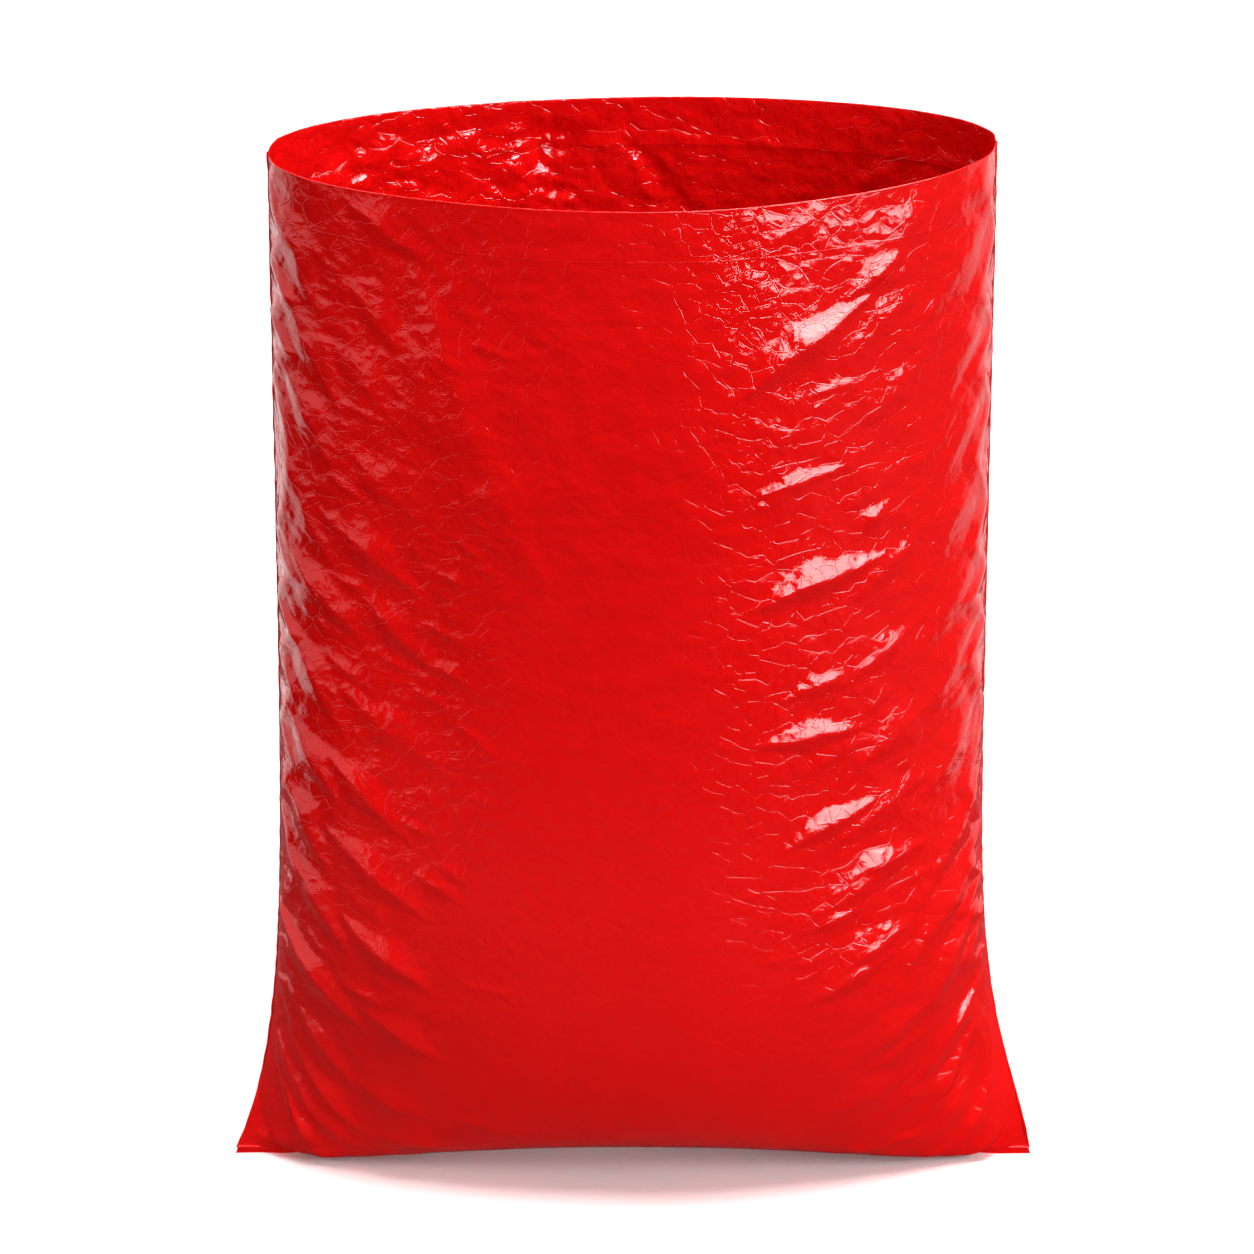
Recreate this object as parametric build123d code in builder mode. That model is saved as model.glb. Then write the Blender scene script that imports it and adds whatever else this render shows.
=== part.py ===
from build123d import *
import os
from math import cos, exp, pi, sin

# An open-topped film gift bag, standing opened out.  Two film walls are joined by a
# weld down each side and a weld along the bottom, and the mouth is edged with a
# turned-in hem.  Millimetres, +Z up, the front wall faces -Y.  The origin is on the
# resting surface, under the middle of the bag.

# ---- the film as it is cut -------------------------------------------------------
FLAT_WIDTH = 250.0           # lay-flat width, weld to weld
HEM_DEPTH = 16.0             # film turned in at the mouth
SKIRT = 2.5                  # film left below the bottom weld
WALL = 0.5                   # thickness given to a wall of film

# ---- the bag standing open -------------------------------------------------------
RIM_HEIGHT = 342.0           # top of the bag at its side welds
RIM_DIP = 2.5                # how far the rim hangs between the side welds
WAIST_HALF_WIDTH = 107.0     # half the width of the open bag above its bottom
FLARE_HEIGHT = 45.0          # height over which the sides draw in from the corners
MOUTH_HALF_DEPTH = 44.5      # half the depth of the bag at its mouth
SOLE_HALF_DEPTH = 11.5       # half the depth that lies on the resting surface
BELLY_HEIGHT = 110.0         # height where the walls have swollen to their full depth
LENS_POWER = 0.72            # outline of the sole: nearer 1 is a sharper lens
OVAL_POWER = 0.5             # outline of the mouth: 0.5 is an ellipse
OVAL_HEIGHT = 90.0           # height over which the outline opens from lens to oval
CORNER_FILL = 2.0            # how much further the inside stops short of a flat corner

# ---- welds and hem ---------------------------------------------------------------
WELD_HALF = 0.6              # half the thickness of a weld
SIDE_WELD_WIDTH = 1.8        # width of the bead down each side
SIDE_WELD_PROUD = 0.3        # how far that bead stands out of the film
HEM_GAP = 0.4                # air between a wall and its turned-in film
HEM_FILM = 0.4               # thickness of the turned-in film
HEM_INSET = WALL + HEM_GAP   # how far the turned-in film stands inside the bag's outline
HEM_WELD_HEIGHT = 1.2        # height of the weld that holds a hem down
FOLD_HEIGHT = 0.8            # height of the fold along the rim
CUTTER = 200.0               # reach of the tools that trim the rim, past the bag

# ---- how finely the film is drawn ------------------------------------------------
OUTLINE_STEPS = 12
BELLY_STEPS = 8
UPPER_STEPS = 6
BEAD_STEPS = 12

os.makedirs("parts", exist_ok=True)


# ---- shape of the standing film --------------------------------------------------
def half_width(level):
    """Half the width of the standing bag at a height, flared towards its corners."""
    flare = FLAT_WIDTH / 2 - WAIST_HALF_WIDTH
    return WAIST_HALF_WIDTH + flare * exp(-level / FLARE_HEIGHT)


def wall_levels():
    """Height and half depth of each outline: a quarter oval belly, then straight up."""
    swell = MOUTH_HALF_DEPTH - SOLE_HALF_DEPTH
    levels = []
    for step in range(BELLY_STEPS):
        turn = pi / 2 * step / BELLY_STEPS
        levels.append((BELLY_HEIGHT * (1 - cos(turn)), SOLE_HALF_DEPTH + swell * sin(turn)))
    straight = RIM_HEIGHT - BELLY_HEIGHT
    for step in range(UPPER_STEPS + 1):
        levels.append((BELLY_HEIGHT + straight * step / UPPER_STEPS, MOUTH_HALF_DEPTH))
    return levels


def outline(level, depth, inset=0.0, lifted=0.0):
    """The bag's outline at one level: a lens low down and an oval at the mouth."""
    closed = max(0.0, 1 - level / OVAL_HEIGHT)
    power = OVAL_POWER + (LENS_POWER - OVAL_POWER) * closed
    reach = half_width(level) - inset * (1 + CORNER_FILL * closed)
    turns = [pi * step / OUTLINE_STEPS for step in range(OUTLINE_STEPS + 1)]
    front = [(reach * cos(turn), -(depth - inset) * sin(turn) ** (2 * power)) for turn in turns]
    back = [(along, -out) for along, out in front]
    with BuildSketch(Plane.XY.offset(level + lifted)) as section:
        with BuildLine():
            Spline(*front)
            Spline(*back)
        make_face()
    return section.sketch


def rim_band(drop, height):
    """A band that follows the hanging rim, its top a distance below the rim."""
    reach = WAIST_HALF_WIDTH + SIDE_WELD_PROUD
    top = RIM_HEIGHT - drop
    low = top - height
    with BuildSketch(Plane.XZ) as band:
        with BuildLine():
            upper = ThreePointArc((-reach, top), (0, top - RIM_DIP), (reach, top))
            lower = ThreePointArc((-reach, low), (0, low - RIM_DIP), (reach, low))
            Line(upper @ 0, lower @ 0)
            Line(upper @ 1, lower @ 1)
        make_face()
    return band.sketch


def mouth_ring(outer_inset, inner_inset, drop, height):
    """A ring of film round the mouth between two insets, following the rim."""
    base = -(drop + height + RIM_DIP)
    tall = height + RIM_DIP
    with BuildPart() as ring:
        extrude(outline(RIM_HEIGHT, MOUTH_HALF_DEPTH, outer_inset, base), amount=tall)
        hollow = outline(RIM_HEIGHT, MOUTH_HALF_DEPTH, inner_inset, base)
        extrude(hollow, amount=tall, mode=Mode.SUBTRACT)
        extrude(rim_band(drop, height), amount=CUTTER, both=True, mode=Mode.INTERSECT)
    return ring.part


def front_half(body):
    """The part of a body in front of the side welds."""
    return split(body, bisect_by=Plane.XZ.offset(WELD_HALF), keep=Keep.TOP)


# ---- both walls together, as one open-topped shell ---------------------------------
with BuildPart() as shell:
    loft([outline(level, depth) for level, depth in wall_levels()])
    hollows = [outline(level, depth, WALL, WALL) for level, depth in wall_levels()]
    loft(hollows, mode=Mode.SUBTRACT)
    extrude(rim_band(FOLD_HEIGHT - CUTTER, CUTTER), amount=CUTTER, both=True, mode=Mode.SUBTRACT)


# ---- front wall ------------------------------------------------------------------
with BuildPart() as front_panel:
    add(front_half(shell.part))
front_panel.part.label = "front_panel"


# ---- front hem: the rim's fold and the film turned in below it --------------------
with BuildPart() as front_hem:
    add(front_half(mouth_ring(0, HEM_INSET + HEM_FILM, 0, HEM_DEPTH)))
    add(mouth_ring(-WALL, HEM_INSET, FOLD_HEIGHT, 2 * HEM_DEPTH), mode=Mode.SUBTRACT)
front_hem.part.label = "front_hem"


# ---- weld that holds the front hem to its wall ------------------------------------
with BuildPart() as front_hem_weld:
    weld_drop = HEM_DEPTH - HEM_WELD_HEIGHT
    add(front_half(mouth_ring(WALL, HEM_INSET, weld_drop, HEM_WELD_HEIGHT)))
front_hem_weld.part.label = "front_hem_weld"


# ---- back wall, hem and hem weld: the front ones turned about ---------------------
with BuildPart() as back_panel:
    mirror(front_panel.part, about=Plane.XZ)
back_panel.part.label = "back_panel"

with BuildPart() as back_hem:
    mirror(front_hem.part, about=Plane.XZ)
back_hem.part.label = "back_hem"

with BuildPart() as back_hem_weld:
    mirror(front_hem_weld.part, about=Plane.XZ)
back_hem_weld.part.label = "back_hem_weld"


# ---- side welds: a flat bead that follows the edge of the standing bag -------------
with BuildPart() as right_side_weld:
    rise = (RIM_HEIGHT - SKIRT) / BEAD_STEPS
    levels = [SKIRT + rise * step for step in range(BEAD_STEPS + 1)]
    outside = [(half_width(level) + SIDE_WELD_PROUD, level) for level in levels]
    inside = [(along - SIDE_WELD_WIDTH, level) for along, level in outside]
    with BuildSketch(Plane.XZ):
        with BuildLine():
            outer_edge = Spline(*outside)
            inner_edge = Spline(*inside)
            Line(outer_edge @ 0, inner_edge @ 0)
            Line(outer_edge @ 1, inner_edge @ 1)
        make_face()
    extrude(amount=WELD_HALF, both=True)
right_side_weld.part.label = "right_side_weld"

with BuildPart() as left_side_weld:
    mirror(right_side_weld.part, about=Plane.YZ)
left_side_weld.part.label = "left_side_weld"


# ---- bottom weld: a straight strip, skirt and all, between the two walls ------------
with BuildPart() as bottom_weld:
    with BuildSketch(Plane.XY):
        Rectangle(FLAT_WIDTH + 2 * SIDE_WELD_PROUD, 2 * WELD_HALF)
    extrude(amount=SKIRT)
bottom_weld.part.label = "bottom_weld"


# ---- one file for each piece -------------------------------------------------------
for piece in (
    front_panel, back_panel,
    front_hem, back_hem,
    front_hem_weld, back_hem_weld,
    left_side_weld, right_side_weld,
    bottom_weld,
):
    export_step(piece.part, f"parts/{piece.part.label}.step")
    box = piece.part.bounding_box()
    print(piece.part.label, box, round(piece.part.volume), piece.part.is_valid)
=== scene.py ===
"""A glossy red film gift bag, standing open on a pale studio floor.

The bag is flat film: two walls welded down both sides and along the bottom, with the
mouth turned in and sealed down as a hem.  Film cannot stretch, so its spare length along
the sides buckles into slanting folds, and handling leaves fine faceted creases all over.
Each wall is therefore built as film, in two film coordinates: "along", the distance
across the flat bag from its middle, and "up", the distance from the bottom weld.
"""

import logging
import math
from dataclasses import dataclass, field
from enum import Enum

import bpy
import numpy as np
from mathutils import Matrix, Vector


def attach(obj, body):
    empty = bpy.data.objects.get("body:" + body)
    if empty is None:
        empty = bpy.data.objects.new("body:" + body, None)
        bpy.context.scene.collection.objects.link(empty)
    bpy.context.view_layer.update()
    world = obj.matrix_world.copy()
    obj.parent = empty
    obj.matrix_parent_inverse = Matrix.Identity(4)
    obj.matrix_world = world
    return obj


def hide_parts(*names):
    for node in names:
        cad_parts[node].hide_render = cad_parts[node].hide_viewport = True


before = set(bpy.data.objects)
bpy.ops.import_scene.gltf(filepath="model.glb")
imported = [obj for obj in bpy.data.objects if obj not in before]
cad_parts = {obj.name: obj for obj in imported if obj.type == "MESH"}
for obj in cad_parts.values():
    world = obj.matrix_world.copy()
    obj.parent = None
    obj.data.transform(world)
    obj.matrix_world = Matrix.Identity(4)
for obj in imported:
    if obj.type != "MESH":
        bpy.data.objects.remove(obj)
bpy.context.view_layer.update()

LOG = logging.getLogger("gift_bag")
MM = 0.001
BODY = "root"
FOOT_STEPS, BELLY_STEPS, WALL_STEPS = 40, 400, 200

Grid = np.ndarray
Colour = tuple[float, float, float, float]
Span = tuple[float, float]


# ---- colour and node helpers --------------------------------------------------------
def linear(hex_colour: str) -> Colour:
    """Turn an sRGB hex colour into the linear colour that shaders use.

    Args:
        hex_colour: six hex digits, with or without a leading hash.

    Returns:
        Linear red, green and blue, and an alpha of 1.
    """
    digits = hex_colour.lstrip("#")
    channels = [int(digits[i:i + 2], 16) / 255 for i in (0, 2, 4)]
    curve = [c / 12.92 if c <= 0.04045 else ((c + 0.055) / 1.055) ** 2.4 for c in channels]
    return (curve[0], curve[1], curve[2], 1.0)


def add_node(
    tree: bpy.types.NodeTree,
    kind: str,
    settings: dict[str, object] | None = None,
    values: dict[str, object] | None = None,
    links: dict[str, bpy.types.NodeSocket] | None = None,
) -> bpy.types.Node:
    """Add one shader node with its settings, socket values and incoming links.

    Args:
        tree: the material's node tree.
        kind: the node's type name.
        settings: node properties by name.
        values: default values by input socket name.
        links: output sockets to link, by input socket name.

    Returns:
        The new node.
    """
    node = tree.nodes.new(kind)
    for name, setting in (settings or {}).items():
        setattr(node, name, setting)
    for name, value in (values or {}).items():
        node.inputs[name].default_value = value
    for name, socket in (links or {}).items():
        tree.links.new(socket, node.inputs[name])
    return node


# ---- finishes -----------------------------------------------------------------------
@dataclass(frozen=True)
class PolyFilm:
    """Pigmented polyethylene film, blown and calendered to a gloss.

    The eye gets a deep, even red with hardly any mirror in it square on, and pale sheets
    of reflected light at a glancing view, broken up by fine creases.
    """

    name: str
    pigment: str = "#E20A0A"
    worn_pigment: str = "#E81010"
    roughness: float = 0.06
    specular: float = 0.22
    facet_cells_mm: tuple[float, float] = (6.2, 3.1)
    facet_slopes: tuple[float, float] = (0.044, 0.04)
    # A real crease is under 0.1 mm wide, and is drawn this wide so that it shows.
    crease_width_mm: float = 0.24
    crease_share: float = 0.0062
    wander: float = 0.35
    wander_cells: float = 2.2
    ripple_mm: float = 2.6
    ripple_depth_mm: float = 0.004
    shade_mm: float = 40.0
    haze: tuple[float, float] = (0.8, 1.25)
    ior: float = 1.5

    def make(self) -> bpy.types.Material:
        """Make the film's material, with its pigment, gloss and creases.

        Returns:
            The new material.
        """
        material = bpy.data.materials.new(self.name)
        material.use_nodes = True
        tree = material.node_tree
        tree.nodes.clear()
        place = add_node(tree, "ShaderNodeTexCoord").outputs["Object"]
        shade = add_node(
            tree, "ShaderNodeTexNoise", values={"Scale": 1 / (self.shade_mm * MM), "Detail": 3.0},
            links={"Vector": place},
        )
        pigment = add_node(
            tree, "ShaderNodeMix", {"data_type": "RGBA"},
            {6: linear(self.pigment), 7: linear(self.worn_pigment)},
            {"Factor": shade.outputs["Fac"]},
        )
        haze = add_node(
            tree, "ShaderNodeMapRange",
            values={
                "To Min": self.roughness * self.haze[0],
                "To Max": self.roughness * self.haze[1],
            },
            links={"Value": shade.outputs["Fac"]},
        )
        bump = add_node(
            tree, "ShaderNodeBump", values={"Strength": 1.0, "Distance": 1.0},
            links={"Height": self.crush(tree, place)},
        )
        shader = add_node(
            tree, "ShaderNodeBsdfPrincipled",
            values={"IOR": self.ior, "Specular IOR Level": self.specular},
            links={
                "Base Color": pigment.outputs[2],
                "Roughness": haze.outputs["Result"],
                "Normal": bump.outputs["Normal"],
            },
        )
        add_node(tree, "ShaderNodeOutputMaterial", links={"Surface": shader.outputs["BSDF"]})
        return material

    def crush(
        self, tree: bpy.types.NodeTree, place: bpy.types.NodeSocket
    ) -> bpy.types.NodeSocket:
        """Add flat-sided facets of two sizes, hard creases and a soft ripple.

        Args:
            tree: the material's node tree.
            place: the socket that gives where a point is.

        Returns:
            The height of the film's surface in metres.
        """
        ripple = add_node(
            tree, "ShaderNodeTexNoise",
            values={"Scale": 1 / (self.ripple_mm * MM), "Detail": 2.0},
            links={"Vector": place},
        )
        total = add_node(
            tree, "ShaderNodeMath", {"operation": "MULTIPLY"},
            {1: self.ripple_depth_mm * MM}, {0: ripple.outputs["Fac"]},
        )
        for cell_mm, slope in zip(self.facet_cells_mm, self.facet_slopes):
            wander = add_node(
                tree, "ShaderNodeTexNoise",
                values={"Scale": 1 / (self.wander_cells * cell_mm * MM), "Detail": 1.0},
                links={"Vector": place},
            )
            bent = add_node(
                tree, "ShaderNodeVectorMath", {"operation": "MULTIPLY_ADD"},
                {1: (self.wander * cell_mm * MM,) * 3},
                {0: wander.outputs["Color"], 2: place},
            )
            roof = add_node(
                tree, "ShaderNodeTexVoronoi", {"feature": "DISTANCE_TO_EDGE"},
                {"Scale": 1 / (cell_mm * MM)}, {"Vector": bent.outputs["Vector"]},
            )
            side = add_node(
                tree, "ShaderNodeMath", {"operation": "MULTIPLY_ADD"},
                {1: slope * cell_mm * MM},
                {0: roof.outputs["Distance"], 2: total.outputs[0]},
            )
            ridge = add_node(
                tree, "ShaderNodeMapRange", {"interpolation_type": "SMOOTHSTEP"},
                {
                    "From Max": self.crease_width_mm / cell_mm,
                    "To Min": self.crease_share * cell_mm * MM,
                    "To Max": 0.0,
                },
                {"Value": roof.outputs["Distance"]},
            )
            total = add_node(
                tree, "ShaderNodeMath", {"operation": "ADD"},
                links={0: side.outputs[0], 1: ridge.outputs["Result"]},
            )
        return total.outputs[0]


@dataclass(frozen=True)
class SweepPaper:
    """Seamless background paper: matt, even and nearly white."""

    name: str = "seamless_paper"
    tint: str = "#F6F5F5"
    roughness: float = 0.95
    specular: float = 0.1

    def make(self) -> bpy.types.Material:
        """Make the paper's material.

        Returns:
            The new material.
        """
        material = bpy.data.materials.new(self.name)
        material.use_nodes = True
        shader = material.node_tree.nodes["Principled BSDF"]
        shader.inputs["Base Color"].default_value = linear(self.tint)
        shader.inputs["Roughness"].default_value = self.roughness
        shader.inputs["Specular IOR Level"].default_value = self.specular
        return material


# ---- patterns on the film -----------------------------------------------------------
def smoothstep(value: Grid, low: float, high: float) -> Grid:
    """Rise smoothly from 0 at low to 1 at high."""
    share = np.clip((value - low) / (high - low), 0.0, 1.0)
    return share * share * (3 - 2 * share)


def triangle(phase: Grid, rise: float = 0.5) -> Grid:
    """A sharp-edged wave between -1 and 1, once for each unit of phase.

    Args:
        phase: where along the wave each point is.
        rise: the part of each wave that climbs.

    Returns:
        The wave's height.
    """
    part = phase - np.floor(phase)
    return 2 * np.where(part < rise, part / rise, (1 - part) / (1 - rise)) - 1


@dataclass
class Ripples:
    """Smooth random waves of one size, the same on every run."""

    seed: int
    size: float
    waves: int = 10
    spread: Span = (0.7, 1.8)

    def at(self, along: Grid, up: Grid) -> Grid:
        """The waves' height at points of the film.

        Args:
            along: distances across the film.
            up: distances up the film.

        Returns:
            Heights, about -1 to 1.
        """
        draw = np.random.default_rng(self.seed)
        total = np.zeros(np.broadcast(along, up).shape)
        for _ in range(self.waves):
            heading = draw.uniform(0, math.tau)
            length = self.size * draw.uniform(*self.spread)
            phase = draw.uniform(0, math.tau)
            across = along * math.cos(heading) + up * math.sin(heading)
            total += np.sin(math.tau * across / length + phase)
        return total / math.sqrt(self.waves)


@dataclass
class Facets:
    """Flat-sided dimples that meet in sharp creases, as in film that was crushed.

    Each cell of a jittered grid holds an upside-down pyramid with a few random faces.
    The lowest pyramid at a point is the surface, so neighbours meet in hard ridges.
    """

    seed: int
    cell: float
    faces: int = 4
    table: int = 97
    inset: Span = (0.08, 0.92)
    steepness: Span = (0.45, 1.35)
    most_lift: float = 0.35
    neighbours: tuple[int, ...] = (-2, -1, 0, 1, 2)

    def at(self, along: Grid, up: Grid) -> Grid:
        """Height of the dimples at points of the film.

        Args:
            along: distances across the film.
            up: distances up the film.

        Returns:
            Millimetres, for pyramids whose sides slope at about 1.
        """
        draw = np.random.default_rng(self.seed)
        jitter = draw.uniform(*self.inset, (self.table, self.table, 2))
        turn = draw.uniform(0, math.tau, (self.table, self.table))
        steep = draw.uniform(*self.steepness, (self.table, self.table, self.faces))
        lift = draw.uniform(0, self.most_lift * self.cell, (self.table, self.table))
        column = np.floor(along / self.cell).astype(int)
        row = np.floor(up / self.cell).astype(int)
        lowest = np.full(np.broadcast(along, up).shape, np.inf)
        for d_column in self.neighbours:
            for d_row in self.neighbours:
                i = (column + d_column) % self.table
                j = (row + d_row) % self.table
                off_x = along - (column + d_column + jitter[i, j, 0]) * self.cell
                off_y = up - (row + d_row + jitter[i, j, 1]) * self.cell
                pyramid = np.full(lowest.shape, -np.inf)
                for face in range(self.faces):
                    heading = turn[i, j] + math.tau * face / self.faces
                    plane = (off_x * np.cos(heading) + off_y * np.sin(heading))
                    pyramid = np.maximum(pyramid, plane * steep[i, j, face])
                lowest = np.minimum(lowest, pyramid + lift[i, j])
        return lowest


class Side(Enum):
    """The two walls of the bag, by which way they face."""

    FRONT = -1
    BACK = 1


@dataclass
class StandingFilm:
    """The shape the film takes up when the bag stands open.

    Every length is in millimetres.  The shape is worked out from the cut film's size and
    from how far the mouth is opened.  Low down the bag's section is a pointed lens, and
    higher up an oval.  Its width flares to the full film at the corners, which stay flat
    as ears, and its bottom arches up between two feet.
    """

    flat_width: float = 250.0
    skirt: float = 2.5
    rim_height: float = 341.6
    rim_dip: float = 2.5
    rim_tilt: float = 1.7
    waist_half_width: float = 107.0
    flare_height: float = 45.0
    flare_skew: float = 4.5
    mouth_half_depth: float = 44.3
    foot_half_depth: float = 11.6
    belly_height: float = 110.0
    arch_rise: float = 6.2
    underside_slope: float = 0.45
    arch_span: float = 0.9
    arch_fade: float = 60.0
    weld_rise_depth: float = 3.0
    corner_sharpness: int = 12
    lens_power: float = 0.72
    oval_power: float = 0.5
    oval_height: float = 70.0
    ear_width: float = 24.0
    ear_height: float = 19.0
    arch_power: float = 1.3
    flare_power: tuple[float, float] = (1.0, 1.5)
    flare_blend: float = 3.0
    ear_flat: tuple[float, float] = (0.93, 1.4)
    ear_share: float = 0.2
    droop_power: int = 4
    samples: int = 241

    def meridian(self) -> tuple[Grid, Grid, Grid]:
        """Work out the film's line up the middle of the bag, before the arch.

        Returns:
            Length up the film, height and half depth, one of each for every step.
        """
        foot = np.linspace(0, 1, FOOT_STEPS, endpoint=False)
        turn = np.linspace(0, math.pi / 2, BELLY_STEPS, endpoint=False)
        wall = np.linspace(self.belly_height, self.rim_height, WALL_STEPS)
        swell = self.mouth_half_depth - self.foot_half_depth
        height = np.concatenate([0 * foot, self.belly_height * (1 - np.cos(turn)), wall])
        depth = np.concatenate([
            self.foot_half_depth * foot,
            self.foot_half_depth + swell * np.sin(turn),
            np.full(wall.shape, self.mouth_half_depth),
        ])
        steps = np.hypot(np.diff(height), np.diff(depth))
        return np.concatenate([[0], np.cumsum(steps)]), height, depth

    @property
    def length(self) -> float:
        """Length of the film from the bottom weld to the rim."""
        return float(self.meridian()[0][-1])

    def half_width(self, level: float, across: Grid) -> Grid:
        """Half the width of the bag at a height, a little more on the right.

        Args:
            level: the height at the side weld.
            across: places across the bag, -1 to 1 from weld to weld.

        Returns:
            Half widths in millimetres.
        """
        flare = self.flat_width / 2 - self.waist_half_width
        hand = np.clip(self.flare_blend * across, -1, 1)
        fade = self.flare_height + self.flare_skew * hand
        power = np.interp(hand, (-1, 1), self.flare_power)
        return self.waist_half_width + flare * np.exp(-((level / fade) ** power))

    def ring(self, height: float, depth: float, turn: Grid) -> tuple[Grid, Grid, Grid]:
        """One row of film: its outline at angles from the right weld to the left one.

        Args:
            height: the row's height at mid width, before the arch.
            depth: the row's half depth at mid width.
            turn: angles from 0 at the right weld to pi at the left one.

        Returns:
            Place across the bag, distance out from its middle plane, and height.
        """
        across = np.cos(turn)
        climb = depth * max(0.0, 1 - height / self.belly_height)
        up_edge = height + climb
        rise = self.skirt * max(0.0, 1 - depth / self.weld_rise_depth) ** 2
        level = height + climb * np.abs(across) ** self.corner_sharpness
        reach = np.minimum(1.0, np.abs(across) / self.arch_span)
        lift = self.arch_rise + self.underside_slope * min(depth, self.foot_half_depth)
        fade = max(0.0, 1 - height / self.arch_fade) ** 2
        level = level + lift * (1 - reach**2) ** self.arch_power * fade
        level = level + rise
        droop = self.rim_dip * (1 - across**2) - self.rim_tilt * across
        level = level - droop * (height / self.rim_height) ** self.droop_power
        closed = max(0.0, 1 - height / self.oval_height)
        power = self.oval_power + (self.lens_power - self.oval_power) * closed
        out = depth * np.sin(turn) ** (2 * power)
        return self.half_width(up_edge + rise, across) * across, out, level

    def surface(self, along: Grid, up: Grid) -> tuple[Grid, Grid, Grid]:
        """Place of film points on the front wall.

        Args:
            along: distances across the flat film from its middle, one for each column.
            up: distances from the bottom weld, one for each row.

        Returns:
            Across, out and height, each with a row for each "up".
        """
        length, height, depth = self.meridian()
        row_height = np.interp(up, length, height)
        row_depth = np.interp(up, length, depth)
        turn = np.linspace(0, math.pi, self.samples)
        share = 0.5 - along / self.flat_width
        rows = []
        for level, out in zip(row_height, row_depth):
            x, y, z = self.ring(level, out, turn)
            run = np.concatenate([[0], np.cumsum(np.hypot(np.diff(x), np.diff(y)))])
            here = share * run[-1]
            rows.append([np.interp(here, run, part) for part in (x, y, z)])
        stack = np.array(rows)
        x, y, z = stack[:, 0], stack[:, 1], stack[:, 2]
        return x, y * self.ear(along, up), z

    def ear(self, along: Grid, up: Grid) -> Grid:
        """How much of its depth the film keeps: little in the flat corner ears.

        Args:
            along: distances across the film, one for each column.
            up: distances up the film, one for each row.

        Returns:
            Shares, with a row for each "up".
        """
        corner = (self.flat_width / 2 - np.abs(along))[None, :] / self.ear_width
        away = corner + up[:, None] / self.ear_height
        return self.ear_share + (1 - self.ear_share) * smoothstep(away, *self.ear_flat)


@dataclass(frozen=True)
class Fold:
    """One buckle of the film: a long diamond with a ridge and four flat faces.

    Millimetres on the flat film, and degrees that the ridge leans up to the right.
    """

    along: float
    up: float
    half_length: float
    upper_width: float
    lower_width: float
    lean: float
    height: float

    def at(self, along: Grid, up: Grid) -> Grid:
        """How far the buckle stands out at points of the film.

        Args:
            along: distances across the film.
            up: distances up the film.

        Returns:
            Millimetres outwards.
        """
        cos, sin = math.cos(math.radians(self.lean)), math.sin(math.radians(self.lean))
        over, rise = along - self.along, up - self.up
        run = np.abs(over * cos + rise * sin) / self.half_length
        off = rise * cos - over * sin
        fall = np.where(off > 0, off / self.upper_width, -off / self.lower_width)
        return self.height * np.maximum(0.0, 1 - run - fall)


@dataclass(frozen=True)
class Swell:
    """A broad soft bulge of the film, or a hollow where its height is negative."""

    along: float
    up: float
    half_width: float
    half_height: float
    height: float

    def at(self, along: Grid, up: Grid) -> Grid:
        """How far the bulge stands out at points of the film.

        Args:
            along: distances across the film.
            up: distances up the film.

        Returns:
            Millimetres outwards.
        """
        over = (along - self.along) / self.half_width
        rise = (up - self.up) / self.half_height
        return self.height * np.exp(-(over**2) - rise**2)


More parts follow.
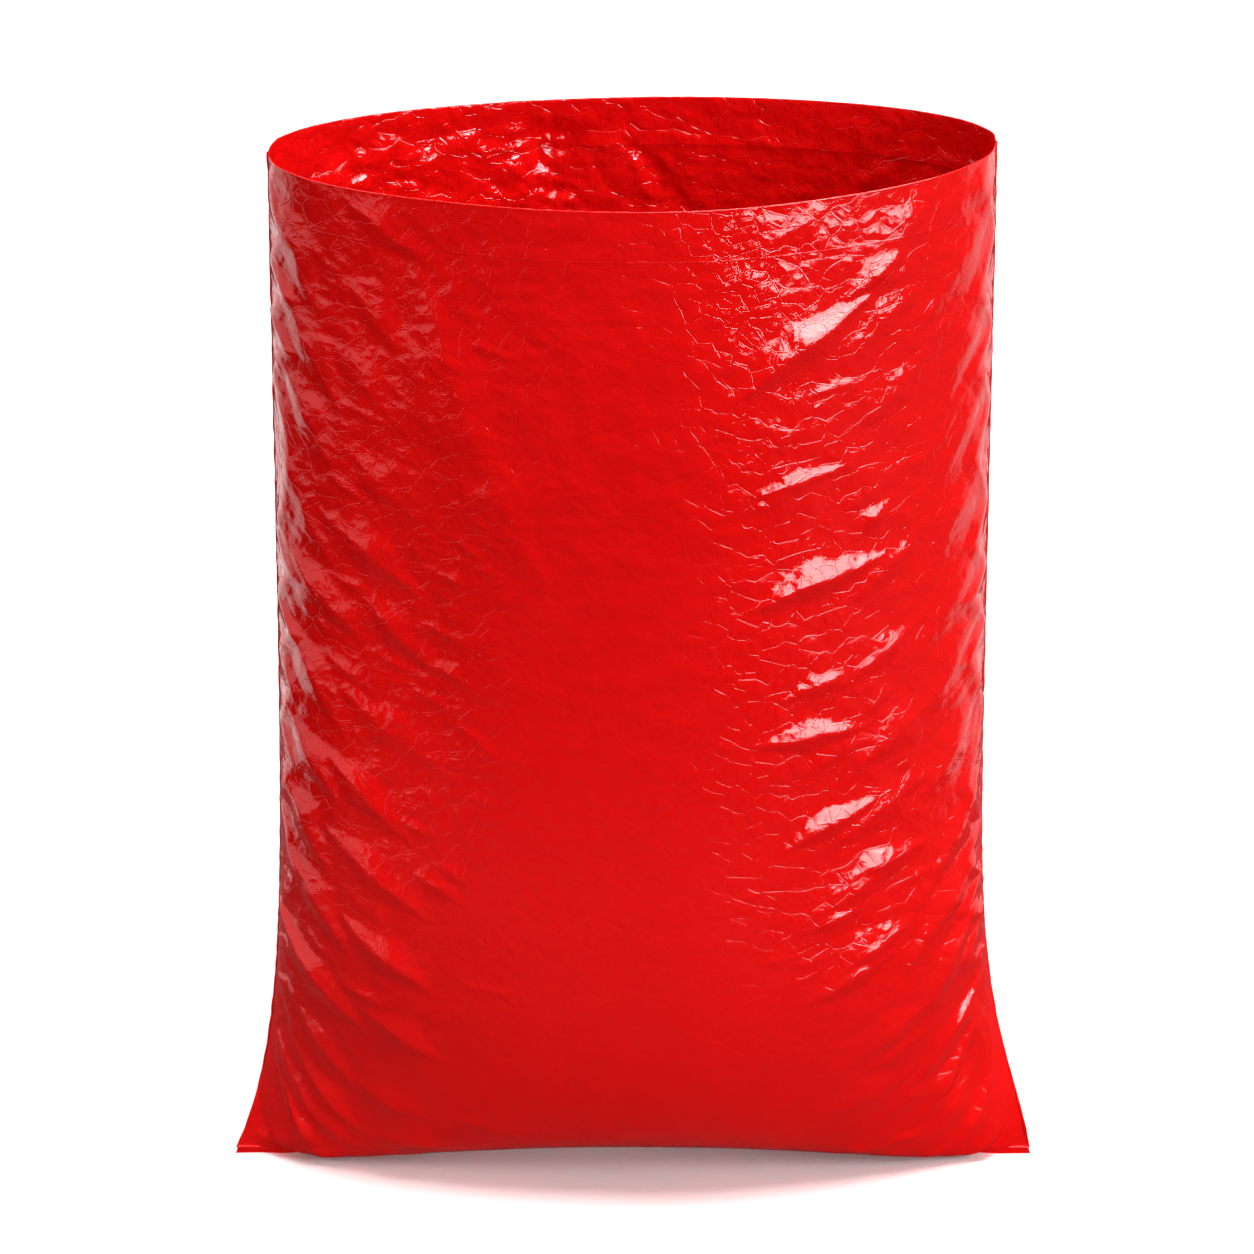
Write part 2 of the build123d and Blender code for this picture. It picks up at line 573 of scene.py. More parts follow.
@dataclass
class SideBuckles:
    """The buckles that the film's spare length makes beside one weld.

    They lean down towards the middle of the wall, steeply at first and then less.  Pairs
    of numbers are the least and the most of a random draw, in millimetres or degrees.
    """

    seed: int
    hand: int
    half_width: float
    length: float
    strength: float = 1.0
    pitch: float = 13.5
    lowest: float = 14.0
    top_margin: float = 8.0
    near_row: Span = (17, 24)
    far_row: Span = (20, 32)
    half_lengths: Span = (21, 29)
    upper_widths: Span = (8, 11.5)
    lower_widths: Span = (5, 8)
    heights: Span = (1.2, 1.9)
    up_jitter: float = 3.5
    lean_jitter: float = 6.0
    far_shorter: float = 2.0
    far_flatter: float = 0.25
    lean_at_weld: float = 54.0
    lean_far: float = 7.0
    lean_reach: float = 60.0
    lean_rise: float = 0.35
    top_strength: float = 0.6
    bottom_strength: float = 1.7
    calm_above: float = 240.0
    bottom_squeeze: float = 0.35
    squeeze_height: float = 90.0
    small_count: int = 75
    small_reach: Span = (4, 88)
    small_crowding: float = 1.3
    small_sizes: Span = (0.6, 1.4)
    small_half_length: float = 11.0
    small_upper: Span = (2.2, 3.4)
    small_lower: Span = (1.8, 3.0)
    small_heights: Span = (0.2, 0.44)
    small_lean_jitter: float = 16.0
    small_margins: Span = (10, 6)

    def lean(self, from_weld: float) -> float:
        """Degrees that a buckle leans, by how far from the weld it is."""
        steep = self.lean_at_weld * math.exp(-from_weld / self.lean_reach)
        return self.hand * (steep + self.lean_far)

    def growth(self, up: float) -> float:
        """How strong the large buckles are at a height, most near the bottom."""
        gain = self.bottom_strength - self.top_strength
        return self.strength * (self.top_strength + gain * max(0.0, 1 - up / self.calm_above))

    def large(self, draw: np.random.Generator, index: int) -> Fold:
        """Draw one large buckle of the two staggered rows.

        Args:
            draw: the source of random numbers.
            index: the buckle's number from the bottom.

        Returns:
            The buckle.
        """
        far = index % 2
        level = index * self.pitch
        squeeze = 1 - self.bottom_squeeze * max(0.0, 1 - level / self.squeeze_height)
        from_weld = draw.uniform(*self.near_row) + far * draw.uniform(*self.far_row)
        up = self.lowest + level + draw.uniform(-self.up_jitter, self.up_jitter)
        half_length = (draw.uniform(*self.half_lengths) - self.far_shorter * far) * squeeze
        upper_width = draw.uniform(*self.upper_widths)
        lower_width = draw.uniform(*self.lower_widths)
        lean = self.lean(from_weld) * (squeeze + self.lean_rise * level / self.length)
        lean += draw.uniform(-self.lean_jitter, self.lean_jitter)
        height = squeeze * self.growth(level) * draw.uniform(*self.heights)
        return Fold(
            along=self.hand * (self.half_width - from_weld),
            up=up,
            half_length=half_length,
            upper_width=upper_width,
            lower_width=lower_width,
            lean=lean,
            height=height * (1 - self.far_flatter * far),
        )

    def small(self, draw: np.random.Generator) -> Fold:
        """Draw one small buckle, more likely near the weld.

        Args:
            draw: the source of random numbers.

        Returns:
            The buckle.
        """
        least, most = self.small_reach
        from_weld = least + (most - least) * draw.uniform() ** self.small_crowding
        size = draw.uniform(*self.small_sizes)
        margin_below, margin_above = self.small_margins
        return Fold(
            along=self.hand * (self.half_width - from_weld),
            up=draw.uniform(margin_below, self.length - margin_above),
            half_length=self.small_half_length * size,
            upper_width=draw.uniform(*self.small_upper) * size,
            lower_width=draw.uniform(*self.small_lower) * size,
            lean=self.lean(from_weld)
            + draw.uniform(-self.small_lean_jitter, self.small_lean_jitter),
            height=self.strength * draw.uniform(*self.small_heights) * size,
        )

    def folds(self) -> list[Fold]:
        """Draw the large buckles from the bottom up, then the small ones.

        Returns:
            The buckles of one side.
        """
        draw = np.random.default_rng(self.seed)
        count = int((self.length - self.top_margin) / self.pitch)
        made = [self.large(draw, index) for index in range(count)]
        return made + [self.small(draw) for _ in range(self.small_count)]


@dataclass
class FilmPoints:
    """Places on the flat film, each with its distance in from the nearer side weld.

    The jiggle is the slow random wander that keeps every crease from running straight.
    """

    along: Grid
    up: Grid
    from_weld: Grid
    jiggle: Grid


@dataclass
class Creasing:
    """Everything that bends the film away from its smooth standing shape.

    Amounts are millimetres out of the film's plane.  A pair of numbers is where an effect
    starts and where it is full, in millimetres from the nearer weld or up the film.
    """

    film: StandingFilm
    seed: int
    folds: list[Fold] = field(default_factory=list)
    swells: list[Swell] = field(default_factory=list)
    crush_spots: list[Swell] = field(default_factory=list)
    bend: float = 0.9
    bend_size_along: float = 30.0
    bend_size_up: float = 34.0
    weld_grip: Span = (0, 9)
    zigzag_height: float = 0.9
    zigzag_pitch: float = 27.0
    zigzag_swing: float = 4.0
    zigzag_drift: float = 9.0
    zigzag_drift_size: float = 70.0
    zigzag_drift_lag: float = 0.2
    zigzag_inset: float = 11.0
    zigzag_half_width: float = 5.5
    pleat_pitch: float = 3.4
    pleat_height: float = 0.2
    pleat_reach: float = 10.0
    pleat_start: Span = (0, 4)
    pleat_wander: float = 0.8
    pleat_mean: float = 0.9
    pleat_swing: float = 0.4
    sway: float = 0.5
    sway_size: float = 130.0
    sway_waves: int = 6
    sway_inset: Span = (0, 40)
    sway_rise: Span = (8, 80)
    coarse_cell: float = 13.0
    coarse_slope: float = 0.038
    fine_cell: float = 6.2
    fine_slope: float = 0.03
    facet_bend: float = 1.2
    facet_bend_size: float = 24.0
    facet_start: Span = (0, 6)
    calm: float = 0.8
    calm_inset: Span = (45, 90)
    calm_rise: Span = (120, 280)
    rim_crush: float = 0.0
    rim_crush_cell: float = 8.0
    rim_crush_fine: float = 0.7
    rim_crush_rise: Span = (230, 310)
    rim_crush_inset: Span = (2, 24)
    foot_grip: Span = (0, 10)
    rim_grip: float = 9.0
    rim_steady: float = 0.6

    def at(self, along: Grid, up: Grid) -> Grid:
        """How far out of its smooth shape the film stands at each point.

        Args:
            along: distances across the film, as a grid.
            up: distances up the film, as a grid.

        Returns:
            Millimetres outwards.
        """
        from_weld = self.film.flat_width / 2 - np.abs(along)
        jiggle = Ripples(self.seed + 1, self.bend_size_along).at(along, up)
        spots = FilmPoints(along, up, from_weld, jiggle)
        sharp = self.buckles(spots) + self.edge_creases(spots) + self.facets(spots)
        return self.broad(spots) + sharp * self.settled(up)

    def buckles(self, spots: FilmPoints) -> Grid:
        """The slanting buckles, bent a little and pinned flat at the side welds.

        Args:
            spots: where on the film.

        Returns:
            Millimetres outwards.
        """
        bent_along = spots.along + self.bend * spots.jiggle
        shift = Ripples(self.seed + 2, self.bend_size_up).at(spots.along, spots.up)
        bent_up = spots.up + self.bend * shift
        buckled = np.zeros(spots.along.shape)
        for fold in self.folds:
            buckled = np.maximum(buckled, fold.at(bent_along, bent_up))
        return buckled * smoothstep(spots.from_weld, *self.weld_grip)

    def edge_creases(self, spots: FilmPoints) -> Grid:
        """The zigzag ridge beside each weld and the fine upright pleats round it.

        Args:
            spots: where on the film.

        Returns:
            Millimetres outwards.
        """
        drift = Ripples(self.seed + 4, self.zigzag_drift_size)
        drift = self.zigzag_drift * drift.at(spots.along * self.zigzag_drift_lag, spots.up)
        zigzag = self.zigzag_swing * triangle((spots.up + drift) / self.zigzag_pitch)
        inward = spots.from_weld + zigzag
        off = np.abs(inward - self.zigzag_inset) / self.zigzag_half_width
        ridge = self.zigzag_height * np.maximum(0.0, 1 - off)
        pleat = triangle((inward + self.pleat_wander * spots.jiggle) / self.pleat_pitch)
        pleat *= np.exp(-spots.from_weld / self.pleat_reach)
        pleat *= smoothstep(spots.from_weld, *self.pleat_start)
        pleat *= self.pleat_height * (self.pleat_mean + self.pleat_swing * spots.jiggle)
        return ridge + pleat

    def broad(self, spots: FilmPoints) -> Grid:
        """The slow swelling of the wall.

        Args:
            spots: where on the film.

        Returns:
            Millimetres outwards.
        """
        slow = Ripples(self.seed + 5, self.sway_size, self.sway_waves)
        total = self.sway * slow.at(spots.along, spots.up)
        for swell in self.swells:
            total = total + swell.at(spots.along, spots.up)
        total = total * smoothstep(spots.from_weld, *self.sway_inset)
        return total * smoothstep(spots.up, *self.sway_rise)

    def facets(self, spots: FilmPoints) -> Grid:
        """The faceted crushing of the film, calmer low down in the middle.

        Args:
            spots: where on the film.

        Returns:
            Millimetres outwards.
        """
        up, from_weld = spots.up, spots.from_weld
        calm = smoothstep(from_weld, *self.calm_inset) * (1 - smoothstep(up, *self.calm_rise))
        amount = (1 - self.calm * calm) * smoothstep(from_weld, *self.facet_start)
        shift = Ripples(self.seed + 6, self.facet_bend_size).at(spots.along, up)
        bent = spots.along + self.facet_bend * shift
        coarse = Facets(self.seed + 7, self.coarse_cell).at(bent, up)
        fine = Facets(self.seed + 8, self.fine_cell).at(bent, up)
        total = amount * (self.coarse_slope * coarse + self.fine_slope * fine)
        if self.rim_crush:
            crush = Facets(self.seed + 9, self.rim_crush_cell).at(bent, up)
            small = Facets(self.seed + 10, self.rim_crush_cell / 2).at(bent, up)
            crush += self.rim_crush_fine * small
            strength = self.rim_crush * smoothstep(up, *self.rim_crush_rise)
            for spot in self.crush_spots:
                strength = strength + spot.at(spots.along, up)
            total += strength * smoothstep(from_weld, *self.rim_crush_inset) * crush
        return total

    def settled(self, up: Grid) -> Grid:
        """Fade the creasing out at the bottom weld, and steady it at the rim.

        Args:
            up: distances up the film.

        Returns:
            Shares of the full creasing.
        """
        top = self.film.length
        rim = 1 - self.rim_steady * smoothstep(up, top - self.rim_grip, top)
        return smoothstep(up, *self.foot_grip) * rim


# ---- mesh helpers -------------------------------------------------------------------
def grid_mesh(name: str, points: Grid) -> bpy.types.Object:
    """Make a smooth-shaded mesh object from rows and columns of points.

    Args:
        name: the piece's name.
        points: places in millimetres, shaped rows by columns by 3.

    Returns:
        The new object, linked to the scene.
    """
    rows, columns = points.shape[:2]
    index = np.arange(rows * columns).reshape(rows, columns)
    quads = np.stack(
        [index[:-1, :-1], index[:-1, 1:], index[1:, 1:], index[1:, :-1]], axis=-1
    ).reshape(-1, 4)
    mesh = bpy.data.meshes.new(name)
    mesh.from_pydata((points.reshape(-1, 3) * MM).tolist(), [], quads.tolist())
    mesh.polygons.foreach_set("use_smooth", [True] * len(mesh.polygons))
    mesh.update()
    piece = bpy.data.objects.new(name, mesh)
    bpy.context.scene.collection.objects.link(piece)
    return piece


def dress(
    piece: bpy.types.Object, node: str, finish: bpy.types.Material
) -> bpy.types.Object:
    """Give a piece its finish and its body, and hide the CAD solid it stands for.

    Args:
        piece: the piece.
        node: the CAD node that the piece replaces.
        finish: the piece's material.

    Returns:
        The same piece.
    """
    piece.data.materials.append(finish)
    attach(piece, BODY)
    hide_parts(node)
    LOG.info("%s: %d faces", piece.name, len(piece.data.polygons))
    return piece


@dataclass
class BagWall:
    """One wall of the bag: its film, its turned-in hem and the seal that holds it."""

    side: Side
    film: StandingFilm
    creasing: Creasing
    film_finish: bpy.types.Material
    seal_finish: bpy.types.Material
    edge_step: float = 0.7
    middle_step: float = 0.98
    edge_band: float = 12.0
    row_step: float = 0.97
    hem_depth: float = 16.0
    fold_radius: float = 0.22
    hem_rows: int = 17
    fold_steps: int = 9
    seal_height: float = 0.7
    seal_proud: float = 0.03
    seal_section: tuple[float, ...] = (0.1, 0.9, 1.0, 1.0, 0.9, 0.1)
    upright_below: Span = (12, 60)
    least_gap: float = 0.02

    @property
    def word(self) -> str:
        """The wall's name."""
        return self.side.name.lower()

    def columns(self) -> Grid:
        """Place the film's columns, closer together near the side welds.

        Returns:
            Distances across the film, from weld to weld.
        """
        half = self.film.flat_width / 2
        band = np.arange(0, self.edge_band, self.edge_step)
        middle = np.linspace(
            self.edge_band, half, round((half - self.edge_band) / self.middle_step)
        )
        from_weld = np.concatenate([band, middle])
        return np.concatenate([-half + from_weld, (half - from_weld)[::-1][1:]])

    def place(self, along: Grid, up: Grid, lift: Grid | float = 0.0) -> Grid:
        """Place film points in the standing bag, creases and all.

        Args:
            along: distances across the film, one for each column.
            up: distances up the film, one for each row.
            lift: millimetres outwards from the film, for each row.

        Returns:
            Points in millimetres, shaped rows by columns by 3.
        """
        smooth = np.stack(self.film.surface(along, up), axis=-1)
        smooth[..., 1] *= -1
        down_rows = np.gradient(smooth, axis=0)
        over_columns = np.gradient(smooth, axis=1)
        normal = np.cross(over_columns, down_rows)
        normal /= np.maximum(np.linalg.norm(normal, axis=-1, keepdims=True), 1e-9)
        wide, tall = np.meshgrid(along, up)
        normal[..., 2] *= smoothstep(tall, *self.upright_below)
        out = self.creasing.at(wide, tall) + np.asarray(lift).reshape(-1, 1)
        points = smooth + normal * out[..., None]
        points[..., 1] = np.minimum(points[..., 1], -self.least_gap)
        points[..., 2] = np.maximum(points[..., 2], self.least_gap)
        if self.side is Side.BACK:
            points[..., 1] *= -1
        return points

    def oriented(self, points: Grid) -> Grid:
        """Turn the grid so that its faces look out of the bag."""
        return points if self.side is Side.FRONT else points[:, ::-1]

    def build_film(self) -> bpy.types.Object:
        """Build the wall's film from the bottom weld to the rim.

        Returns:
            The finished piece.
        """
        up = np.linspace(0, self.film.length, round(self.film.length / self.row_step))
        piece = grid_mesh(f"{self.word}_wall_film", self.oriented(self.place(self.columns(), up)))
        dress(piece, f"{self.word}_panel", self.film_finish)
        flat = (self.film.flat_width * MM, self.film.length * MM)
        return piece

    def build_hem(self) -> bpy.types.Object:
        """Build the fold over the rim and the film turned in below it.

        Returns:
            The finished piece.
        """
        turns = np.linspace(0, math.pi, self.fold_steps)
        rim = self.film.length
        top_rows = np.array([rim - 1, rim])
        down = np.linspace(0, self.hem_depth, self.hem_rows + 1)[1:]
        behind = -2 * self.fold_radius
        outer = self.place(self.columns(), top_rows)[1]
        inner = self.place(self.columns(), top_rows, np.full(2, behind))[1]
        inward = (inner - outer) / 2
        rise = np.array([0, 0, self.fold_radius])
        arc = np.stack([
            outer + inward * (1 - math.cos(turn)) + rise * math.sin(turn) for turn in turns
        ])
        inside = self.place(self.columns(), rim - down[::-1], np.full(len(down), behind))
        points = np.concatenate([arc, inside[::-1]])
        piece = grid_mesh(f"{self.word}_hem_film", self.oriented(points))
        return dress(piece, f"{self.word}_hem", self.film_finish)

    def build_seal(self) -> bpy.types.Object:
        """Build the seal line that holds the hem, as it shows outside the wall.

        Returns:
            The finished piece.
        """
        middle = self.film.length - self.hem_depth
        up = middle + self.seal_height * np.linspace(-0.5, 0.5, len(self.seal_section))
        proud = self.seal_proud * np.array(self.seal_section)
        points = self.place(self.columns(), up, proud)
        piece = grid_mesh(f"{self.word}_hem_seal", self.oriented(points))
        return dress(piece, f"{self.word}_hem_weld", self.seal_finish)

    def build(self) -> None:
        """Build every piece of the wall."""
        self.build_film()
        self.build_hem()
        self.build_seal()


@dataclass
class SideSeam:
    """The melted bead down one side, where the two walls were cut and sealed."""

    hand: int
    film: StandingFilm
    finish: bpy.types.Material
    seed: int
    half_width: float = 0.45
    half_depth: float = 0.4
    lump: float = 0.18
    lump_size: float = 7.0
    wave: float = 0.12
    wave_size: float = 16.0
    ring_points: int = 10
    row_step: float = 1.2

    def build(self) -> bpy.types.Object:
        """Build the bead from the bottom weld to the rim.

        Returns:
            The finished piece.
        """
        up = np.linspace(0, self.film.length, round(self.film.length / self.row_step))
        edge = np.array([self.hand * self.film.flat_width / 2])
        x, _, z = self.film.surface(edge, up)
        lumps = 1 + self.lump * Ripples(self.seed, self.lump_size).at(0 * up, up)
        wave = self.wave * Ripples(self.seed + 1, self.wave_size).at(0 * up, up)
        turns = np.linspace(0, math.tau, self.ring_points + 1)
        points = np.empty((len(up), len(turns), 3))
        for column, turn in enumerate(turns):
            out = self.half_width * lumps * math.cos(turn)
            points[:, column, 0] = x[:, 0] + self.hand * out
            points[:, column, 1] = self.half_depth * lumps * math.sin(turn) + wave
            points[:, column, 2] = z[:, 0]
        word = "right" if self.hand > 0 else "left"
        piece = grid_mesh(f"{word}_side_seam", points)
        return dress(piece, f"{word}_side_weld", self.finish)


@dataclass
class BottomSeam:
    """The bottom weld and the short skirt of film left below it."""

    film: StandingFilm
    finish: bpy.types.Material
    seed: int
    half_depth: float = 0.12
    weld_half_depth: float = 0.3
    weld_share: Span = (0.75, 1.1)
    step_share: float = 0.6
    wave: float = 0.5
    wave_size: float = 18.0
    column_step: float = 1.0
    tip_spread: float = 0.006
    least_height: float = 0.05

    def build(self) -> bpy.types.Object:
        """Build the strip along the bottom, arched between the bag's feet.

        Returns:
            The finished piece.
        """
        half = self.film.flat_width / 2
        along = np.linspace(-half, half, round(2 * half / self.column_step))
        x, _, z = self.film.surface(along, np.array([0.0]))
        weld = z[0]
        skirt = np.maximum(weld - self.film.skirt, self.least_height)
        wave = self.wave * Ripples(self.seed, self.wave_size).at(along, 0 * along)
        weld_low, weld_high = self.weld_share
        near = [
            (self.half_depth, 0.0), (self.half_depth, self.step_share),
            (self.weld_half_depth, weld_low), (self.weld_half_depth, weld_high),
        ]
        front = [(-out, share) for out, share in near]
        profile = front + near[::-1] + front[:1]
        points = np.empty((len(profile), len(along), 3))
        for row, (out, share) in enumerate(profile):
            points[row, :, 0] = x[0] * (1 + self.tip_spread * (1 - min(share, 1.0)))
            points[row, :, 1] = out + wave * (1 - min(share, 1.0))
            points[row, :, 2] = skirt + (weld - skirt) * share
        piece = grid_mesh("bottom_seam", points)
        return dress(piece, "bottom_weld", self.finish)


# ---- studio -------------------------------------------------------------------------
@dataclass(frozen=True)
class Panel:
    """A softbox or bounce card as the glossy film sees it.

    Angles are degrees: azimuth from the bag's front towards its right, and elevation.
    """

    azimuth: tuple[float, float]
    elevation: tuple[float, float]
    blur: float
    strength: float

    def add(
        self,
        tree: bpy.types.NodeTree,
        azimuth: bpy.types.NodeSocket,
        elevation: bpy.types.NodeSocket,
    ) -> bpy.types.NodeSocket:
        """Add the panel to the world.

        Args:
            tree: the world's node tree.
            azimuth: the socket that gives a direction's azimuth in radians.
            elevation: the socket that gives its elevation in radians.

        Returns:
            The panel's brightness in each direction.
        """
        bright = None
        for angle, (low, high) in ((azimuth, self.azimuth), (elevation, self.elevation)):
            for edge, ends in ((low, (0.0, 1.0)), (high, (1.0, 0.0))):
                step = add_node(
                    tree, "ShaderNodeMapRange", {"interpolation_type": "SMOOTHSTEP"},
                    {
                        "From Min": math.radians(edge - self.blur / 2),
                        "From Max": math.radians(edge + self.blur / 2),
                        "To Min": ends[0],
                        "To Max": ends[1],
                    },
                    {"Value": angle},
                ).outputs["Result"]
                if bright is None:
                    bright = add_node(
                        tree, "ShaderNodeMath", {"operation": "MULTIPLY"},
                        {1: self.strength}, {0: step},
                    ).outputs[0]
                else:
                    bright = add_node(
                        tree, "ShaderNodeMath", {"operation": "MULTIPLY"},
                        links={0: bright, 1: step},
                    ).outputs[0]
        return bright


@dataclass
class Room:
    """The studio round the set: pale to look at, dim as fill, with panels as gloss."""

    backdrop: float = 1.0
    fill: float = 0.2
    dark: float = 0.03
    panels: list[Panel] = field(default_factory=lambda: [
        # The key softbox, low and then high.
        Panel((17, 46), (-14, 45), 3, 24.0),
        Panel((0, 66), (-1, 45), 5, 17.0),
        # A bounce card at the left, and the lit table beyond it.
        Panel((-150, -35), (-18, 55), 4, 2.0),
        Panel((-150, -96), (-62, -19), 12, 2.6),
        # A tall card behind the right side.
        Panel((90, 150), (-62, 55), 16, 1.8),
        # The ceiling, and a dim wall at the right.
        Panel((-179, 179), (56, 89), 12, 8.0),
        Panel((34, 90), (-40, 30), 24, 0.25),
    ])

    def build(self) -> bpy.types.World:
        """Build the world's nodes.

        Returns:
            The new world.
        """
        world = bpy.data.worlds.new("studio_room")
        world.use_nodes = True
        world.cycles.sampling_method = "NONE"
        tree = world.node_tree
        tree.nodes.clear()
        towards = add_node(tree, "ShaderNodeTexCoord").outputs["Generated"]
        parts = add_node(tree, "ShaderNodeSeparateXYZ", links={"Vector": towards})
        ahead = add_node(
            tree, "ShaderNodeMath", {"operation": "MULTIPLY"}, {1: -1.0},
            {0: parts.outputs["Y"]},
        )
        azimuth = add_node(
            tree, "ShaderNodeMath", {"operation": "ARCTAN2"},
            links={0: parts.outputs["X"], 1: ahead.outputs[0]},
        ).outputs[0]
        elevation = add_node(
            tree, "ShaderNodeMath", {"operation": "ARCSINE"},
            links={0: parts.outputs["Z"]},
        ).outputs[0]
        gloss = None
        for panel in self.panels:
            bright = panel.add(tree, azimuth, elevation)
            gloss = add_node(
                tree, "ShaderNodeMath", {"operation": "ADD"}, {1: self.dark},
                {0: bright} | ({1: gloss} if gloss else {}),
            ).outputs[0]
        path = add_node(tree, "ShaderNodeLightPath")
        unseen = add_node(
            tree, "ShaderNodeMix", values={"A": self.fill},
            links={"Factor": path.outputs["Is Glossy Ray"], "B": gloss},
        )
        strength = add_node(
            tree, "ShaderNodeMix", values={"B": self.backdrop},
            links={"Factor": path.outputs["Is Camera Ray"], "A": unseen.outputs["Result"]},
        )
        background = add_node(
            tree, "ShaderNodeBackground", values={"Color": linear("#FFFFFF")},
            links={"Strength": strength.outputs["Result"]},
        )
        add_node(tree, "ShaderNodeOutputWorld", links={"Surface": background.outputs[0]})
        return world


@dataclass(frozen=True)
class SoftLight:
    """A rectangular studio light, aimed at the bag."""

    name: str
    place: tuple[float, float, float]
    size: tuple[float, float]
    power: float
    aim: tuple[float, float, float] = (0.0, 0.0, 0.15)

    def build(self) -> None:
        """Add the light and point it at its aim."""
        lamp = bpy.data.lights.new(self.name, "AREA")
        lamp.shape = "RECTANGLE"
        lamp.size, lamp.size_y = self.size
        lamp.energy = self.power
        holder = bpy.data.objects.new(self.name, lamp)
        holder.location = self.place
        towards = Vector(self.aim) - Vector(self.place)
        holder.rotation_euler = towards.to_track_quat("-Z", "Y").to_euler()
        holder.visible_glossy = False
        holder.visible_camera = False
        bpy.context.scene.collection.objects.link(holder)


@dataclass
class Studio:
    """Pale floor, soft lights, the camera, and a grey sheet of painted floor shade that only the
    bag sees.
    """

    camera_place: tuple[float, float, float] = (0.0, -1.936, 1.1318)
    camera_aim: tuple[float, float, float] = (-0.0015, 0.0, 0.1844)
    lens: float = 203.8
    floor_reach: float = 4.0
    table_across: tuple[float, float] = (-300.0, 300.0)
    table_along: tuple[float, float] = (-290.0, 300.0)
    table_height: float = -0.2
    # Painted shade: the hidden sheet's grey, darker than the seen floor, stands for the floor
    # shaded beside the bag.
    shaded_floor_tint: str = "#D8D4D4"
    sky_strength: float = 4.3
    sky_angle: float = 30.0
    sky_tilt: tuple[float, float] = (7.0, 6.0)
    lights: list[SoftLight] = field(default_factory=lambda: [
        SoftLight("key_softbox", (1.45, -1.22, 1.0), (0.7, 0.9), 29.0),
        SoftLight("left_fill", (-1.8, -0.5, 0.4), (0.9, 1.0), 7.5),
        SoftLight("low_card", (-0.04, -0.34, 0.03), (0.4, 0.04), 0.13),
        SoftLight("back_fill", (-1.2, 1.7, 0.9), (1.0, 1.0), 14.0),
    ])

    def sheet(
        self, name: str, across: tuple[float, float], along: tuple[float, float], z: float
    ) -> bpy.types.Object:
        """Lay a flat sheet on the stage.

        Args:
            name: the sheet's name.
            across: where it starts and ends across the stage, in millimetres.
            along: where it starts and ends away from the camera.
            z: its height.

        Returns:
            The sheet.
        """
        (left, right), (near, far) = across, along
        corners = np.array([
            [[left, near, z], [right, near, z]],
            [[left, far, z], [right, far, z]],
        ])
        piece = grid_mesh(name, corners)
        return piece

    def build(self) -> None:
        """Build the whole studio."""
        scene = bpy.context.scene
        scene.view_settings.view_transform = "Standard"
        scene.world = Room().build()
        reach = self.floor_reach / MM
        floor = self.sheet("studio_floor", (-reach, reach), (-reach, reach), 0.0)
        floor.data.materials.append(SweepPaper().make())
        floor.visible_glossy = False
        floor.visible_diffuse = False
        # A grey sheet just under the floor that only the bag sees. It bounces real light, and its
        # darker tint is painted shade: it sets how dim the floor's bounce and its reflection in
        # the film are beside the bag.
        table = self.sheet(
            "shaded_floor_bounce", self.table_across, self.table_along, self.table_height
        )
        table.data.materials.append(SweepPaper("shaded_floor_paper", self.shaded_floor_tint).make())
        table.visible_camera = False
        for light in self.lights:
            light.build()
        ceiling = bpy.data.lights.new("ceiling_bounce", "SUN")
        ceiling.energy = self.sky_strength
        ceiling.angle = math.radians(self.sky_angle)
        holder = bpy.data.objects.new("ceiling_bounce", ceiling)
        holder.visible_glossy = False
        forward, right = self.sky_tilt
        holder.rotation_euler = (math.radians(forward), math.radians(right), 0.0)
        scene.collection.objects.link(holder)
        view = bpy.data.cameras.new("studio_camera")
        view.lens = self.lens
        camera = bpy.data.objects.new("studio_camera", view)
        camera.location = self.camera_place
        towards = Vector(self.camera_aim) - Vector(self.camera_place)
        camera.rotation_euler = towards.to_track_quat("-Z", "Y").to_euler()
        scene.collection.objects.link(camera)
        scene.camera = camera


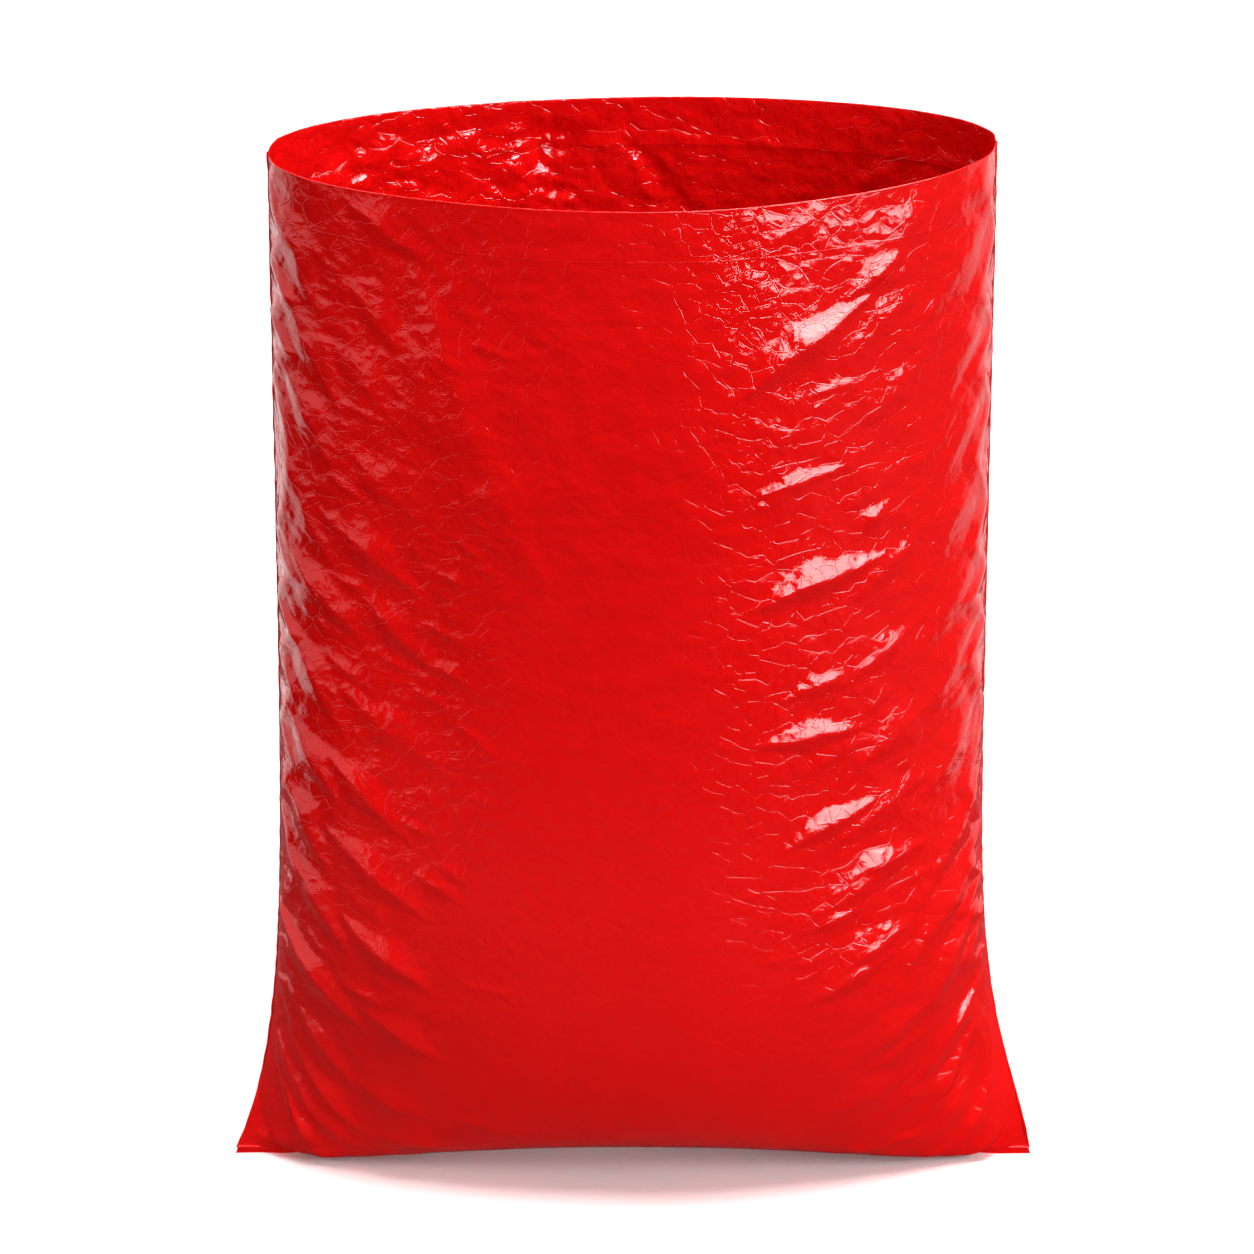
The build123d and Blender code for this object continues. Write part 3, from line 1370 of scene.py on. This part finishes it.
@dataclass
class GiftBag:
    """The whole bag."""

    film: StandingFilm = field(default_factory=StandingFilm)
    left_strength: float = 1.0
    right_strength: float = 0.75
    # Each fold: along, up, half length, upper width, lower width, lean, height.
    main_folds: list[Fold] = field(default_factory=lambda: [
        Fold(52, 318, 30, 10.0, 6.0, 35, 1.7),
        Fold(73, 338, 15, 7.5, 5.0, 36, 1.2),
        Fold(50, 274, 17, 5.0, 4.0, 14, 0.75),
        Fold(74, 259, 10, 5.0, 4.0, 44, 0.7),
        Fold(56, 240, 25, 9.5, 6.0, 15, 1.6),
        Fold(57, 206, 15, 5.0, 4.0, 20, 0.75),
        Fold(54, 188, 21, 7.5, 5.0, 6, 1.2),
        Fold(63, 159, 21, 7.5, 5.0, 24, 1.25),
        Fold(77, 141, 19, 7.0, 5.0, 22, 1.1),
        Fold(62, 125, 14, 5.5, 4.0, 18, 0.85),
        Fold(68, 104, 18, 7.0, 5.0, 24, 1.15),
        Fold(92, 52, 17, 7.0, 5.0, 34, 1.1),
        Fold(-52, 302, 46, 13.0, 26.0, -72, 1.2),
        Fold(-38, 268, 40, 9.0, 18.0, -68, 0.7),
        Fold(-109, 26, 17, 6.0, 4.0, -55, 2.0),
        Fold(-101, 47, 20, 8.0, 5.0, -46, 2.3),
        Fold(-116, 15, 10, 3.0, 3.0, -50, 1.2),
        Fold(110, 27, 16, 6.0, 4.0, 54, 1.9),
        Fold(103, 50, 19, 8.0, 5.0, 44, 2.0),
        Fold(116, 15, 10, 3.0, 3.0, 48, 1.2),
        Fold(88, 33, 11, 4.5, 3.5, 34, 1.1),
        Fold(97, 19, 10, 4.0, 3.5, 38, 1.1),
        Fold(83, 71, 13, 5.0, 4.0, 28, 0.9),
        Fold(108, 9, 8, 3.5, 3.0, 30, 0.9),
    ])
    # Each swell: along, up, half width, half height, height.
    front_swells: list[Swell] = field(default_factory=lambda: [
        Swell(24, 190, 30, 230, 2.2),
        Swell(-68, 205, 22, 75, -2.6),
        Swell(-60, 350, 34, 70, -1.8),
    ])
    inner_folds: list[Fold] = field(default_factory=lambda: [
        Fold(-25, 352, 17, 6.0, 26.0, 8, 3.2),
        Fold(9, 336, 22, 4.0, 7.0, -52, 1.6),
    ])
    # Patches crumpled inside the mouth: the last number is how steep their facets are.
    crush_spots: list[Swell] = field(default_factory=lambda: [
        Swell(-25, 334, 11, 22, 0.24),
        Swell(8, 330, 6, 14, 0.16),
        Swell(-78, 342, 26, 20, 0.12),
    ])

    def creasing(self, side: Side, seed: int) -> Creasing:
        """Draw one wall's creases.

        Args:
            side: which wall.
            seed: what the wall's random draws start from.

        Returns:
            The wall's creases.
        """
        half = self.film.flat_width / 2
        folds = []
        for hand, strength in ((-1, self.left_strength), (1, self.right_strength)):
            beside = SideBuckles(seed + hand, hand, half, self.film.length, strength=strength)
            folds += beside.folds()
        if side is Side.FRONT:
            return Creasing(self.film, seed, folds + self.main_folds, self.front_swells)
        return Creasing(
            self.film, seed, folds + self.inner_folds, coarse_slope=0.075, fine_slope=0.05,
            rim_crush=0.1, crush_spots=self.crush_spots,
        )

    def build(self) -> None:
        """Build both walls, then the seams that join them."""
        film_finish = PolyFilm("glossy_polyethylene_film").make()
        # Film crumpled hard in the hand: bright broken lines inside the mouth.
        crushed_finish = PolyFilm(
            "crushed_polyethylene_film", facet_slopes=(0.11, 0.1), crease_share=0.015,
        ).make()
        # Melted and pressed by a hot bar: duller, darker and finer grained.
        seal_finish = PolyFilm(
            "heat_sealed_polyethylene", pigment="#DC0808", worn_pigment="#E40E0E",
            roughness=0.2, facet_cells_mm=(3.1, 1.4), crease_share=0.002,
        ).make()
        for side, seed in ((Side.FRONT, 11), (Side.BACK, 47)):
            creasing = self.creasing(side, seed)
            finish = film_finish if side is Side.FRONT else crushed_finish
            BagWall(side, self.film, creasing, finish, seal_finish).build()
        for hand, seed in ((-1, 71), (1, 83)):
            SideSeam(hand, self.film, seal_finish, seed).build()
        BottomSeam(self.film, seal_finish, 91).build()


def main() -> None:
    """Build the studio and the bag."""
    logging.basicConfig(level=logging.INFO, format="%(name)s: %(message)s")
    Studio().build()
    GiftBag().build()


if __name__ == "__main__":
    main()
